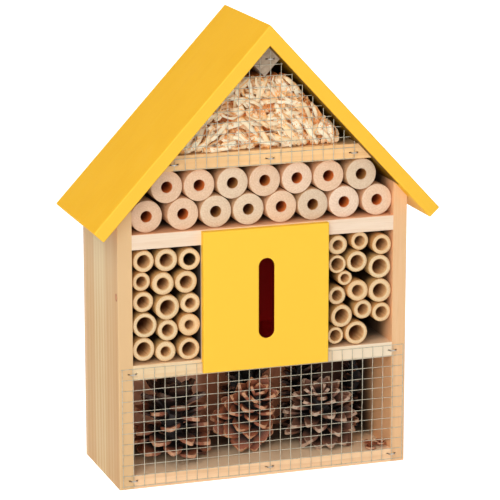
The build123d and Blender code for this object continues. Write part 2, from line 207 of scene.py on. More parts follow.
def front_edge(share, colour):
    """A tint on the front edge of a board."""
    return past("Y", board_front + 0.0012, board_front + 0.0003, share), colour


def by_grain(grain, along, across):
    """Three numbers, of which one is for the axis of the grain."""
    return [along if axis == grain else across for axis in "XYZ"]


def timber(name, grain, heart, ring, pale=pine_pale, dark=pine_ring, figure=0.4, wander_share=1.0,
           tints=(), knots=(), rough=0.2):
    """Softwood: rings round the tree's heart, which lies off the board, and fibres along the grain.

    A tint is a mask, as a function of the place, and its colour."""
    material, where, shader = new_finish(name, 0.62)
    sides = [axis for axis in "XYZ" if axis != grain]
    slow = by_grain(grain, 5.0, 34.0)
    fine = by_grain(grain, 60.0, 2300.0)
    streak = by_grain(grain, 14.0, 420.0)
    wander = (grainy(where, slow, 3.0) - 0.5) * wander_share
    bulge = 0
    knot_masks = []
    for x, y, z, size in knots:
        away = where.node("VectorMath", {"operation": "SUBTRACT"}, {0: where, 1: (x, y, z)})
        squeeze = by_grain(grain, 0.8, 1.0)
        away = away.node("VectorMath", {"operation": "MULTIPLY"}, {0: away, 1: squeeze})
        reach = away.node("VectorMath", {"operation": "LENGTH"}, {0: away}, "Value")
        bulge = (1 - rise(reach, 0.0, size * 4)) * 0.006 + bulge
        knot_masks.append((1 - rise(reach, size * 0.7, size), rise(reach, size * 0.3, size * 0.7)))
    first = part_of(where, sides[0]) - heart[0] + wander * 0.012 + bulge
    second = part_of(where, sides[1]) - heart[1] + wander * 0.006
    radius = (first * first + second * second) ** 0.5
    turn = (radius / ring + grainy(where, [v * 0.4 for v in slow]) * 1.6).math("FRACT")
    late = rise(turn, 0.25, 0.86) * (1 - rise(turn, 0.88, 1.0))
    fibres = grainy(where, fine, 3.0)
    streaks = grainy(where, streak, 3.0)
    colour = over(late * figure, pale, dark)
    colour = over(rise(streaks, 0.48, 0.78) * 0.30, colour, dark)
    colour = over(rise(streaks, 0.50, 0.22) * 0.22, colour, srgb(252, 228, 194))
    colour = over(rise(fibres, 0.50, 0.74) * 0.22, colour, srgb(196, 142, 92))
    colour = over(rise(grainy(where, 26.0), 0.4, 0.7) * 0.10, colour, srgb(226, 190, 140))
    for mask, tint in tints:
        colour = over(mask(where), colour, tint)
    for spot, ring_round in knot_masks:
        colour = over(spot * 0.9, colour, over(ring_round, srgb(212, 140, 84), srgb(168, 84, 38)))
    # Painted shade: faces inside the house darken with their depth behind the front.
    colour = shaded(where, colour, board_front + 0.005, 0.020)
    red = within(where, chamber_low, chamber_high)
    colour = over(red, colour, chamber_red)
    feed(shader, "Base Color", colour)
    feed(shader, "Roughness", fibres * 0.2 + 0.52)
    bumped(shader, fibres * 0.5 + streaks * 0.3 + late * 0.3, rough, 0.0003)
    return material


def dress(node, material):
    """Gives a CAD node its material."""
    for slot in frame["nodes"][node].material_slots:
        slot.material = material


wall_low, wall_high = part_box("left_wall")
wall_depth = wall_high.y - wall_low.y
knot = (wall_low.x, wall_low.y + 0.0032, 0.1135, 0.0022)
left_tints = [(past("Z", 0.08, 0.16, 0.7), srgb(240, 220, 176))]
for start, end, share in ((0.30, 0.24, 0.50), (0.57, 0.65, 0.45), (0.82, 0.90, 0.40)):
    band = past("Y", wall_high.y - start * wall_depth, wall_high.y - end * wall_depth, share)
    left_tints.append((band, srgb(208, 154, 96)))
left_tints.append(front_edge(0.9, srgb(223, 184, 134)))
dress("left_wall", timber(
    "pine_left_wall", "Z", (-0.060, -0.199), 0.0060, srgb(227, 196, 144), srgb(209, 158, 100),
    figure=0.65, wander_share=0.15, tints=left_tints, knots=[knot]))
right_face = past("X", inside_high.x, inside_high.x - stain_and_shade_margin)
# Painted shade: from about 24 mm into the bay, the right wall's inner face and the floor turn dark
# brown.
deep_shade = past("Y", board_front + 0.024, board_front + 0.044, 0.9)
shadow_brown = srgb(38, 23, 15)
# Painted light: the right wall's inner face is coloured paler and warmer, for the warm light bounced
# inside the bay.
right_inside_light = (lambda where: right_face(where) * 0.8, srgb(254, 190, 136))
right_deep_shade = (lambda where: right_face(where) * deep_shade(where), shadow_brown)
dress("right_wall", timber(
    "pine_right_wall", "Z", (0.150, -0.170), 0.0085, srgb(237, 190, 142), srgb(222, 164, 114),
    tints=[right_inside_light, right_deep_shade, front_edge(0.3, srgb(222, 174, 122))]))
floor_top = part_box("bottom_board")[1].z
floor_face = top_face(floor_top)
# Painted light: the top of the bottom board is coloured paler and pinker, as if more light fell on
# it inside the bay.
floor_top_light = (lambda where: floor_face(where) * 0.9, srgb(255, 219, 178))
floor_deep_shade = (lambda where: floor_face(where) * deep_shade(where), shadow_brown)
dress("bottom_board", timber(
    "pine_bottom_board", "X", (-0.100, -0.110), 0.0052, srgb(251, 209, 163), srgb(228, 178, 130),
    tints=[floor_top_light, floor_deep_shade]))
# Painted light: the shelves' tops are coloured warm orange, for the warm light bounced between the
# logs and canes.
bay_top_light = (top_face(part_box("lower_shelf")[1].z, 0.6), srgb(246, 200, 150))
pale_end = (past("X", 0.010, 0.060, 0.9), srgb(240, 221, 192))
dress("lower_shelf", timber(
    "pine_lower_shelf", "X", (-0.120, -0.020), 0.0046, srgb(234, 206, 162), srgb(222, 180, 130),
    figure=0.3, tints=[pale_end, bay_top_light]))
shelf_top_light = (top_face(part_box("upper_shelf")[1].z, 0.7), srgb(240, 168, 110))
dress("upper_shelf", timber(
    "pine_upper_shelf", "X", (-0.100, 0.060), 0.0060, srgb(241, 217, 191), srgb(232, 198, 164),
    figure=0.3, tints=[shelf_top_light]))
dark_end = (past("X", 0.004, -0.040, 0.6), srgb(228, 180, 122))
dress("gable_shelf", timber(
    "pine_gable_shelf", "X", (-0.090, 0.120), 0.0050, srgb(250, 203, 142), srgb(232, 174, 110),
    figure=0.3, tints=[dark_end]))
# Painted shade: the dividers' sides turn dark brown just behind their front edge.
divider_side_shade = (past("Y", board_front + 0.0003, board_front + 0.0022, 0.92), shadow_brown)
divider_timber = timber(
    "pine_dividers", "Z", (0.090, -0.140), 0.0060, srgb(240, 220, 196), tints=[divider_side_shade])
dress("left_divider", divider_timber)
dress("right_divider", divider_timber)
dress("ridge_batten", timber(
    "rough_batten", "Y", (0.030, 0.200), 0.0030, srgb(166, 148, 128), srgb(124, 102, 84),
    rough=0.5))

# The back: a sheet of thin plywood, nailed on from behind with round wire nails whose heads are
# flush. Its face veneer is peeled from the log, so its figure is broad and wavy.
sheet_face = past("Y", sheet_low.y + 0.0006, sheet_low.y + 0.0002)
orange_brown_right = past("X", -0.024, -0.014, 0.8)
painted_shadow_corner = past("X", 0.042, 0.050, 0.85)
# The inner face is paler and pinker, partly the sheet's own colour and partly painted light. From
# the middle rightwards it is orange-brown, and near the right wall dark brown, a painted shadow
# behind the cones.
sheet_tints = [
    (sheet_face, srgb(255, 190, 156)),
    (lambda where: sheet_face(where) * orange_brown_right(where), srgb(160, 84, 40)),
    (lambda where: sheet_face(where) * painted_shadow_corner(where), shadow_brown)]
dress("back_panel", timber(
    "back_plywood", "Z", (-0.020, 0.240), 0.0130, srgb(230, 194, 148), srgb(196, 138, 90),
    figure=0.7, tints=sheet_tints, rough=0.3))


def steel(name, colour, roughness):
    """Plain steel with a slightly uneven sheen."""
    material, where, shader = new_finish(name, roughness, 0.9)
    dull = grainy(where, 700.0, 3.0)
    feed(shader, "Base Color", over(rise(dull, 0.4, 0.7) * 0.5, colour, srgb(120, 116, 110)))
    feed(shader, "Roughness", dull * 0.3 + (roughness - 0.15))
    bumped(shader, dull, 0.15, 0.0001)
    return material


nail_steel = steel("nail_steel", srgb(170, 170, 172), 0.38)
dress("back_nails", nail_steel)


# Pine cones: open cones with woody scales in a spiral round the core. Each scale is a thin strap at
# its root, widens to a rounded spoon and ends in a thick lip, brown outside and darker within.
def block(cuts):
    """A block of unit size on the origin, cut into slices along X, Y and Z."""
    bm = bmesh.new()
    bmesh.ops.create_cube(bm, size=1.0)
    for axis, count in enumerate(cuts):
        if count:
            long = [e for e in bm.edges if abs((e.verts[0].co - e.verts[1].co)[axis]) > 0.5]
            bmesh.ops.subdivide_edges(bm, edges=long, cuts=count, use_grid_fill=True)
    return bm


def smooth(value, low, high):
    """A smooth step from 0 to 1 between two numbers."""
    share = min(max((value - low) / (high - low), 0.0), 1.0)
    return share * share * (3 - 2 * share)


def as_mesh(bm, name):
    """A bmesh as a mesh to copy from."""
    mesh = bpy.data.meshes.new(name)
    bm.to_mesh(mesh)
    bm.free()
    return mesh


def lay(bm, shape, matrix):
    """Adds a copy of a mesh, moved and turned, and gives its points."""
    before = len(bm.verts)
    bm.from_mesh(shape)
    bm.verts.ensure_lookup_table()
    added = bm.verts[before:]
    bmesh.ops.transform(bm, matrix=matrix, verts=added)
    return added


def piece(name, bm, material, stands_for=(), crease=40.0):
    """A finished bmesh as a piece of the hotel, which may stand for CAD nodes."""
    bmesh.ops.remove_doubles(bm, verts=bm.verts, dist=1e-6)
    bmesh.ops.recalc_face_normals(bm, faces=bm.faces)
    mesh = as_mesh(bm, name)
    mesh.materials.append(material)
    mesh.shade_smooth()
    mesh.set_sharp_from_angle(angle=radians(crease))
    obj = bpy.data.objects.new(name, mesh)
    bpy.context.scene.collection.objects.link(obj)
    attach(obj, "root")
    if stands_for:
        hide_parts(*stands_for)
    return obj


def corners_of(verts):
    """The low and the high corner of some points."""
    return [Vector([pick(v.co[axis] for v in verts) for axis in range(3)]) for pick in (min, max)]


def seated(bm, low, high):
    """Moves and scales a shape so that it fills a box."""
    start, end = corners_of(bm.verts)
    size = [(high[a] - low[a]) / (end[a] - start[a]) for a in range(3)]
    bmesh.ops.translate(bm, verts=bm.verts, vec=-start)
    bmesh.ops.scale(bm, verts=bm.verts, vec=size)
    bmesh.ops.translate(bm, verts=bm.verts, vec=Vector(low))


def scale_shape():
    """One scale of unit length and width: its root at the origin, its tip along +X."""
    bm = block((6, 3, 0))
    along_layer = bm.verts.layers.float.new("along")
    for v in bm.verts:
        along, across, upper = (v.co.x + 0.5) ** 0.8, v.co.y * 2, v.co.z + 0.5
        half = 0.28 + 0.72 * smooth(along, 0.0, 0.62)
        half *= 1 - 0.58 * max((along - 0.68) / 0.32, 0.0) ** 2.2
        thick = 0.05 + 0.07 * smooth(along, 0.5, 0.85)
        arch = 0.07 * across * across * half + 0.05 * along - 0.07 * along ** 3
        v[along_layer] = along
        tip = along - 0.10 * across ** 2 * along ** 4
        v.co = (tip, across * half / 2, arch - thick * (1 - upper))
    return as_mesh(bm, "cone_scale")


golden_turn = radians(137.508)
cone_low_lift = radians(-6.0)
cone_high_lift = radians(80.0)
scale_mesh = scale_shape()
leaning_squat = 0.3
core_radius = 0.30
crown_shade_low = 0.038
crown_shade_high = 0.048


def pine_cone(node, count, tilt, turn, seed, wide, narrowing, reaches):
    """A cone in its CAD node's box. Its tip leans by tilt, towards the side that turn says."""
    low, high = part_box(node)
    tall = 2 * (high.z - low.z) / (high.x - low.x) * (1 - leaning_squat * sin(tilt) ** 2)
    luck = Random(seed)
    bm = bmesh.new()
    bmesh.ops.create_uvsphere(bm, u_segments=12, v_segments=8, radius=1.0)
    bm.verts.layers.float.new("along")
    bmesh.ops.scale(bm, verts=bm.verts, vec=(core_radius, core_radius, tall * 0.44))
    bmesh.ops.translate(bm, verts=bm.verts, vec=(0, 0, tall * 0.45))
    for number in range(count):
        share = number / (count - 1)
        lift = cone_low_lift + (cone_high_lift - cone_low_lift) * share ** 1.8
        lift += radians(luck.uniform(-7, 7))
        step = share * (len(reaches) - 1)
        first = min(int(step), len(reaches) - 2)
        spread = reaches[first] + (reaches[first + 1] - reaches[first]) * (step - first)
        root = 0.16 * (1 - share) + 0.03
        foot = tall * (0.09 + 0.64 * share)
        length = (spread - root) / max(cos(lift), 0.25) * luck.uniform(0.90, 1.06)
        length = min(length, (tall * 1.02 - foot) / max(sin(lift), 0.1))
        width = wide * (1 - narrowing * share) * luck.uniform(0.86, 1.12)
        matrix = Matrix.Rotation(golden_turn * number + luck.uniform(-0.12, 0.12), 4, "Z")
        matrix = matrix @ Matrix.Translation((root, 0, foot)) @ Matrix.Rotation(-lift, 4, "Y")
        matrix = matrix @ Matrix.Rotation(radians(luck.uniform(-16, 16)), 4, "X")
        lay(bm, scale_mesh, matrix @ Matrix.Diagonal((length, width, min(length, 0.8), 1)))
    lean = Matrix.Rotation(turn, 4, "Z") @ Matrix.Rotation(tilt, 4, "X")
    bmesh.ops.transform(bm, matrix=lean, verts=bm.verts)
    seated(bm, low, high)
    return bm


def stored(where, name, out="Fac"):
    """A number or a vector that the mesh holds for each of its points."""
    return where.node("Attribute", {"attribute_name": name}, None, out)


def cone_finish(name, lit, lip, root, crown_shade=0.0):
    """Woody scales: nearly black at the root, partly their own colour and partly painted shade,
    reddish towards the tip, pale on the rubbed lip.
    """
    material, where, shader = new_finish(name, 0.6)
    along = stored(where, "along")
    blotch = grainy(where, 190.0, 3.0)
    speck = grainy(where, 1500.0, 3.0)
    colour = over(rise(along + blotch * 0.35, 0.66, 1.08), root, lit)
    colour = over(rise(blotch, 0.55, 0.75) * 0.35, colour, srgb(96, 64, 48))
    colour = over(rise(along + blotch * 0.06, 0.965, 1.02) * 0.9, colour, lip)
    colour = over(rise(speck, 0.52, 0.72) * 0.4, colour, srgb(40, 22, 16))
    # Painted shade: with crown_shade set, the cone is coloured dark at the height of its top scales,
    # for their backlit shade.
    colour = over(rise(part_of(where, "Z"), crown_shade_low, crown_shade_high) * crown_shade, colour, root)
    feed(shader, "Base Color", colour)
    feed(shader, "Roughness", speck * 0.3 + 0.42)
    bumped(shader, speck * 0.6 + blotch * 0.4, 0.5, 0.0006)
    return material


red_cone = cone_finish("cone_reddish", srgb(146, 80, 52), srgb(206, 152, 114), srgb(26, 17, 15))
open_cone = cone_finish(
    "cone_dark_crown", srgb(144, 82, 56), srgb(202, 150, 116), srgb(30, 20, 18), crown_shade=0.88)
tan_cone = cone_finish("cone_tan", srgb(120, 80, 62), srgb(198, 166, 142), srgb(26, 18, 16))
# The back cones take dark browns, partly their own colour and partly painted shade deep in the bay.
dark_cone = cone_finish("cone_dark", srgb(62, 38, 28), srgb(104, 70, 52), srgb(17, 13, 13))
open_crown = (0.86, 1.0, 1.0, 0.98, 0.94, 0.88, 0.80, 0.68, 0.56)
full_base = (1.0, 1.04, 0.98, 0.90, 0.80, 0.70, 0.60, 0.50, 0.40)
round_crown = (0.84, 1.0, 1.0, 0.96, 0.88, 0.76, 0.62, 0.46, 0.30)
cones = (
    ("pine_cone_1", 42, radians(4), radians(20), 3, 0.54, 0.20, open_crown, open_cone),
    ("pine_cone_2", 46, radians(42), radians(8), 11, 0.64, 0.46, full_base, red_cone),
    ("pine_cone_3", 52, radians(24), radians(-30), 5, 0.46, 0.42, round_crown, tan_cone),
    ("pine_cone_4", 44, radians(6), radians(100), 8, 0.60, 0.42, open_crown, dark_cone),
    ("pine_cone_5", 44, radians(4), radians(200), 21, 0.60, 0.42, open_crown, dark_cone),
    ("pine_cone_6", 34, radians(4), radians(10), 34, 0.74, 0.42, round_crown, dark_cone),
)
for node, count, tilt, turn, seed, wide, narrowing, reaches, material in cones:
    cone = pine_cone(node, count, tilt, turn, seed, wide, narrowing, reaches)
    piece(node + "_scales", cone, material, [node], crease=60.0)


# Fallen bracts: broken scales and the tip of a cone lie on the bottom board, in its right front
# corner, where they have dropped from the cones.
bract_places = [
    (0.0672, -0.0250, 0.6, 20, 0.0060), (0.0694, -0.0240, 2.6, 34, 0.0056),
    (0.0690, -0.0262, 4.1, 12, 0.0056)]
for number in range(9):
    bract_places.append((0.0744, -0.0246, golden_turn * number, 20 + 8 * number, 0.0044))
bracts = bmesh.new()
along_layer = bracts.verts.layers.float.new("along")
for x, y, turn, lift, size in bract_places:
    matrix = Matrix.Translation((x, y, floor_top + 0.0006)) @ Matrix.Rotation(turn, 4, "Z")
    matrix = matrix @ Matrix.Rotation(-radians(lift), 4, "Y")
    lay(bracts, scale_mesh, matrix @ Matrix.Diagonal((size, size * 1.15, size * 1.5, 1)))
for v in bracts.verts:
    v[along_layer] = 0.72 + 0.28 * v[along_layer]
    v.co.z = max(v.co.z, floor_top)
piece("fallen_bracts", bracts, red_cone)


# Nesting canes: lengths of dry bamboo, sawn off and packed crosswise into the two bays. Each is a
# little oval, with a pale fibrous cut end, a satin skin and a brown hollow.
def stick(radius, bore, depth, length, sides, ease, oval, slant, tone, seed):
    """A round stick with a bore from its front end, a little out of round and cut askew."""
    luck = Random(seed)
    bm = bmesh.new()
    local = bm.verts.layers.float_vector.new("local")
    skin = bm.verts.layers.float.new("skin")
    tone_layer = bm.verts.layers.float.new("tone")
    outline = [
        (0, depth), (bore * 0.5, depth), (bore, depth), (bore, depth * 0.6), (bore, depth * 0.25),
        (bore, ease * 4), (bore, ease), (bore + ease * 0.6, 0), ((bore + radius) / 2, 0),
        (radius - ease, 0), (radius - ease * 0.3, ease * 0.35), (radius, ease * 1.2),
        (radius, length * 0.2), (radius, length * 0.6), (radius, length), (0, length)]
    points = [bm.verts.new((r, y, 0)) for r, y in outline]
    edges = [bm.edges.new(pair) for pair in zip(points, points[1:])]
    bmesh.ops.spin(bm, geom=points + edges, cent=(0, 0, 0), axis=(0, 1, 0), dvec=(0, 0, 0),
                   angle=2 * pi, steps=sides, use_merge=True)
    bmesh.ops.remove_doubles(bm, verts=bm.verts, dist=1e-6)
    waves = []
    for turns in (2, 3, 5):
        waves.append((turns, luck.uniform(0.3, 1) * oval / turns, luck.uniform(0, 2 * pi)))
    lean = luck.uniform(0, 2 * pi)
    for v in bm.verts:
        reach = hypot(v.co.x, v.co.z)
        swell = 1.0
        if reach > 1e-6:
            turn = atan2(v.co.z, v.co.x)
            swell += sum(size * (cos(turns * turn + start) - 1) for turns, size, start in waves)
        near = 1 - smooth(v.co.y, 0.0, length * 0.3)
        v[local] = v.co
        v[skin] = min(max((reach - bore) / (radius - bore), 0.0), 1.0)
        v[tone_layer] = tone
        v.co.y += slant * (v.co.x * cos(lean) + v.co.z * sin(lean) + radius) * near
        v.co.x *= swell
        v.co.z *= swell
    return bm


def cane_finish(name, mouth, deep_shade):
    """Bamboo: a pale cut end with fibre bundles, a satin yellow skin and a brown lining; skin and
    lining darken with depth as painted shade.
    """
    material, where, shader = new_finish(name, 0.5)
    local = stored(where, "local", "Vector")
    skin = stored(where, "skin")
    tone = stored(where, "tone")
    depth = part_of(local, "Y")
    cut = 1 - rise(depth, 0.0001, 0.0005)
    bundles = grainy(local, (2600.0, 100.0, 2600.0))
    streaks = grainy(where, (900.0, 28.0, 900.0), 3.0)
    blotch = grainy(where, (120.0, 60.0, 120.0))
    outside = over(tone, srgb(204, 164, 104), srgb(218, 156, 92))
    outside = over(rise(streaks, 0.45, 0.75) * 0.45, outside, srgb(170, 112, 60))
    outside = over(rise(blotch, 0.45, 0.75) * 0.30, outside, srgb(184, 148, 92))
    # Painted shade: the skin turns near black a few mm behind the cut end, between the packed canes.
    outside = over(rise(depth, 0.001, 0.012) * 0.94, outside, shade_brown)
    lining = over(rise(streaks, 0.40, 0.75) * 0.45, mouth, srgb(176, 116, 66))
    # Painted shade: the lining darkens deeper into the bore.
    lining = over(rise(depth, 0.001, 0.019) * 0.92, lining, deep_shade)
    sides = over(rise(skin, 0.3, 0.7), lining, outside)
    face = over(rise(skin, 0.05, 0.30), srgb(216, 178, 126), srgb(236, 208, 164))
    face = over(rise(skin, 0.55, 0.95) * 0.8, face, srgb(224, 188, 138))
    dots = rise(bundles, 0.46, 0.62) * (rise(skin, 0.1, 0.9) * 0.5 + 0.2)
    face = over(dots, face, srgb(186, 142, 90))
    face = over(rise(skin, 0.88, 1.0) * 0.9, face, srgb(160, 116, 66))
    face = over(tone * 0.35, face, srgb(232, 180, 122))
    feed(shader, "Base Color", over(cut, sides, face))
    feed(shader, "Roughness", cut * 0.25 + streaks * 0.2 + 0.36)
    bumped(shader, bundles * cut + streaks * (1 - cut), 0.35, 0.0002)
    return material


bamboo = cane_finish("bamboo", srgb(240, 192, 134), srgb(118, 60, 22))
# One cane's bore is coloured near black from its mouth inwards.
dark_inside_bamboo = cane_finish("bamboo_dark_inside", srgb(96, 70, 44), srgb(18, 12, 8))
dark_inside_cane = "cane_left_15"
cane_sides = 26
cane_depth = 0.048
cane_ease = 0.0003
cane_oval = 0.030
cane_slant = 0.05
cane_bores = {
    "left": (
        0.62, 0.47, 0.63, 0.67, 0.55, 0.42, 0.57, 0.60, 0.50, 0.57, 0.52, 0.55, 0.59, 0.56, 0.56),
    "right": (
        0.65, 0.66, 0.59, 0.62, 0.57, 0.57, 0.52, 0.58, 0.57, 0.68, 0.61, 0.63, 0.51, 0.57, 0.60),
}
for side, bores in cane_bores.items():
    for number, bore in enumerate(bores, 1):
        node = f"cane_{side}_{number:02d}"
        low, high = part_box(node)
        radius = (high.x - low.x) / 2
        seed = number * 7 + len(side)
        tone = Random(seed).random()
        cane = stick(radius, radius * bore, cane_depth, high.y - low.y, cane_sides, cane_ease,
                     cane_oval, cane_slant, tone, seed)
        place = ((low.x + high.x) / 2, low.y, (low.z + high.z) / 2)
        bmesh.ops.translate(cane, verts=cane.verts, vec=place)
        finish = dark_inside_bamboo if node == dark_inside_cane else bamboo
        piece(node + "_bamboo", cane, finish, [node], crease=50.0)


# Drilled logs: round sticks of light wood, sawn off square, each with one drilled hole. The lower
# row lies on the upper shelf and the upper row in its valleys. Some are pink, some beige or grey.
def log_finish():
    """Sawn log ends with faint rings, smooth sides and a warm drilled hole; sides and hole darken
    with depth as painted shade.
    """
    material, where, shader = new_finish("log_wood", 0.66)
    local = stored(where, "local", "Vector")
    skin = stored(where, "skin")
    tone = stored(where, "tone")
    depth = part_of(local, "Y")
    cut = 1 - rise(depth, 0.0001, 0.0006)
    ring_width = 0.0016
    off_x = part_of(local, "X") + tone * 0.006 - 0.002
    off_z = part_of(local, "Z") - tone * 0.004
    wave = grainy(where, (160.0, 60.0, 160.0))
    rings = (((off_x * off_x + off_z * off_z) ** 0.5 + wave * 0.0022) / ring_width).math("FRACT")
    rings = rise(rings, 0.3, 0.85) * (1 - rise(rings, 0.88, 1.0))
    fuzz = grainy(where, (1900.0, 900.0, 1900.0), 3.0)
    blotch = grainy(where, (150.0, 60.0, 150.0))
    streaks = grainy(where, (700.0, 24.0, 700.0), 3.0)
    settings = {"stops": [
        (0.0, srgb(216, 191, 161)), (0.3, srgb(226, 200, 168)), (0.7, srgb(230, 189, 154)),
        (0.86, srgb(234, 196, 161)), (1.0, srgb(239, 209, 182))]}
    base = tone.node("ValToRGB", settings, {"Fac": tone})
    face = over(rings * 0.20, base, srgb(206, 164, 128))
    face = over(rise(fuzz, 0.48, 0.70) * 0.30, face, srgb(200, 160, 124))
    face = over(rise(fuzz, 0.50, 0.30) * 0.25, face, srgb(255, 236, 216))
    face = over(rise(blotch, 0.45, 0.75) * 0.22, face, srgb(216, 182, 148))
    face = over(rise(skin, 0.95, 1.0) * 0.4, face, srgb(206, 164, 128))
    outside = over(tone, srgb(212, 176, 132), srgb(232, 182, 140))
    outside = over(rise(streaks, 0.45, 0.75) * 0.4, outside, srgb(204, 152, 108))
    # Painted shade: the sides turn dark brown behind the sawn end, in the gaps between the logs.
    outside = over(rise(depth, 0.004, 0.022) * 0.9, outside, srgb(70, 38, 18))
    hole = over(rise(tone, 0.4, 0.75), srgb(186, 128, 68), srgb(232, 128, 58))
    # Painted shade: the hole darkens deeper in.
    hole = over(rise(depth, 0.0005, 0.013) * 0.85, hole, srgb(112, 46, 14))
    sides = over(rise(skin, 0.3, 0.7), hole, outside)
    feed(shader, "Base Color", over(cut, sides, face))
    feed(shader, "Roughness", fuzz * 0.2 + 0.55)
    bumped(shader, fuzz * 0.7 + rings * 0.3, 0.35, 0.0003)
    return material


log_wood = log_finish()
log_bore = 0.00325
log_depth = 0.052
log_ease = 0.00035
log_sides = 36
log_radius = 0.009325
log_oval = 0.006
log_slant = 0.012
# Each log's tone, and its share of the full radius.
logs_seen = {
    "lower": (
        (0.70, 1.0), (0.80, 0.995), (0.35, 1.0), (0.30, 0.99), (0.86, 1.0), (0.0, 0.985),
        (1.0, 1.0), (0.90, 0.99)),
    "upper": (
        (0.74, 0.995), (0.80, 0.985), (0.33, 0.99), (0.60, 1.0), (0.94, 0.99), (0.80, 0.985),
        (0.14, 0.99)),
}
bored = {opening["name"]: opening["box_m"] for opening in frame["record"]["physics"]["openings"]}
for row, sticks in logs_seen.items():
    low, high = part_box("log_row_" + row)
    logs = bmesh.new()
    for number, (tone, share) in enumerate(sticks, 1):
        corner, far = bored[f"log_bore_{row}_{number}"]
        place = ((corner[0] + far[0]) / 2, low.y, (corner[2] + far[2]) / 2)
        log = stick(log_radius * share, log_bore, log_depth, high.y - low.y, log_sides, log_ease,
                    log_oval, log_slant, tone, number * 3 + len(row))
        lay(logs, as_mesh(log, "log"), Matrix.Translation(place))
    piece(f"log_row_{row}_sticks", logs, log_wood, ["log_row_" + row], crease=50.0)


# Wood shavings: a heap of thin curled ribbons from a plane, pressed against the gable net. It has
# slumped away from the roof on the right, which leaves a dark gap there.
shelf_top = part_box("gable_shelf")[1].z
heap_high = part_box("shavings")[1]
heap_gap = 0.0012
net_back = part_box("gable_mesh")[1].y
heap_top = heap_high.z
slump_all_over = 0.0016
slump_at_foot = 0.0060
slump_height = 0.009
shaving_thick = 0.0002
clearance = 0.0001


def half_width(z, gap=0.0):
    """Half the free width under the roof at a height."""
    return (apex - z) / tan(slope) - gap / sin(slope)


def heap_edge(z):
    """How far the heap reaches to the right at a height. It has slumped most at its foot."""
    slump = slump_all_over + slump_at_foot * (1 - smooth(z, shelf_top, shelf_top + slump_height))
    return half_width(z, heap_gap) - slump


def ribbon(width, length, coil, cup, twist, crinkle, seed):
    """A shaving curved round the Y axis, crinkled, with its cross section cupped and twisted."""
    luck = Random(seed)
    bm = block((7, 2, 0))
    edge_shade_layer = bm.verts.layers.float.new("edge")
    for layer in ("fold", "tone"):
        bm.verts.layers.float.new(layer)
    torn = {}
    waves = luck.uniform(1.5, 3.0)
    start = luck.uniform(0, 2 * pi)
    for v in bm.verts:
        along, across, outer = v.co.x + 0.5, v.co.y * 2, v.co.z + 0.5
        cell = (round(along * 20), round(across))
        torn.setdefault(cell, luck.uniform(0.88, 1.0))
        half = width / 2 * (1 - 0.6 * abs(2 * along - 1) ** 5) * torn[cell]
        angle = length / coil * (along - 0.5)
        swing = twist * (along - 0.5)
        radial = Vector((cos(angle), 0, sin(angle)))
        side = Vector((0, 1, 0)) * cos(swing) + radial * sin(swing)
        upward = radial * cos(swing) - Vector((0, 1, 0)) * sin(swing)
        rise_up = cup * across * across * half + outer * shaving_thick
        rise_up += crinkle * sin(along * waves * 2 * pi + across * 1.2 + start)
        # Painted shade and light: on the outer side one long edge is outlined orange-brown, like the
        # shadow of the next strip, and the inner side glows orange.
        ends = abs(2 * along - 1) ** 3
        outlined_shade = 0.40 * max(-across, 0.0) ** 2 + 0.06 * max(across, 0.0) ** 2 + 0.10 * ends
        v[edge_shade_layer] = outlined_shade if outer > 0.5 else 0.62 - 0.30 * ends
        v.co = radial * coil + side * across * half + upward * rise_up
    middle = sum((v.co for v in bm.verts), Vector()) / len(bm.verts)
    bmesh.ops.translate(bm, verts=bm.verts, vec=-middle)
    return as_mesh(bm, "shaving")


def settled(verts, front):
    """Moves a shaving back behind the net, up off the shelf and in under the roof."""
    back = max(front - min(v.co.y for v in verts), 0)
    up = max(shelf_top + clearance - min(v.co.z for v in verts), 0)
    up += min(heap_top - clearance - max(v.co.z for v in verts), 0)
    left = max(-half_width(v.co.z + up, heap_gap) - v.co.x for v in verts)
    right = min(heap_edge(v.co.z + up) - v.co.x for v in verts)
    shift = Vector((max(left, 0) + min(right, 0), back, up))
    for v in verts:
        v.co += shift


def shaving_finish(name, pale, glow, deep_shade):
    """Fresh shavings: cream, with fine fibres; the fold value paints an orange glow and brown shade
    into folds and gaps, as painted light and shade.
    """
    material, where, shader = new_finish(name, 0.6)
    fold = stored(where, "fold")
    tone = stored(where, "tone")
    blotch = grainy(where, 230.0)
    fibres = grainy(where, 1600.0, 3.0)
    colour = over(rise(tone, 0.35, 1.0) * 0.7, pale, srgb(250, 212, 156))
    colour = over(rise(blotch, 0.50, 0.75) * 0.40, colour, srgb(250, 204, 140))
    colour = over(rise(fibres, 0.50, 0.75) * 0.22, colour, srgb(236, 184, 122))
    colour = over(rise(fold + blotch * 0.3, 0.18, 0.64) * 0.9, colour, glow)
    colour = over(rise(fold, 0.40, 0.95) * 0.95, colour, deep_shade)
    feed(shader, "Base Color", colour)
    feed(shader, "Roughness", fibres * 0.3 + 0.45)
    bumped(shader, fibres, 0.3, 0.0002)
    return material


shaving_wood = shaving_finish(
    "shavings", srgb(255, 244, 214), srgb(253, 181, 98), srgb(214, 104, 34))
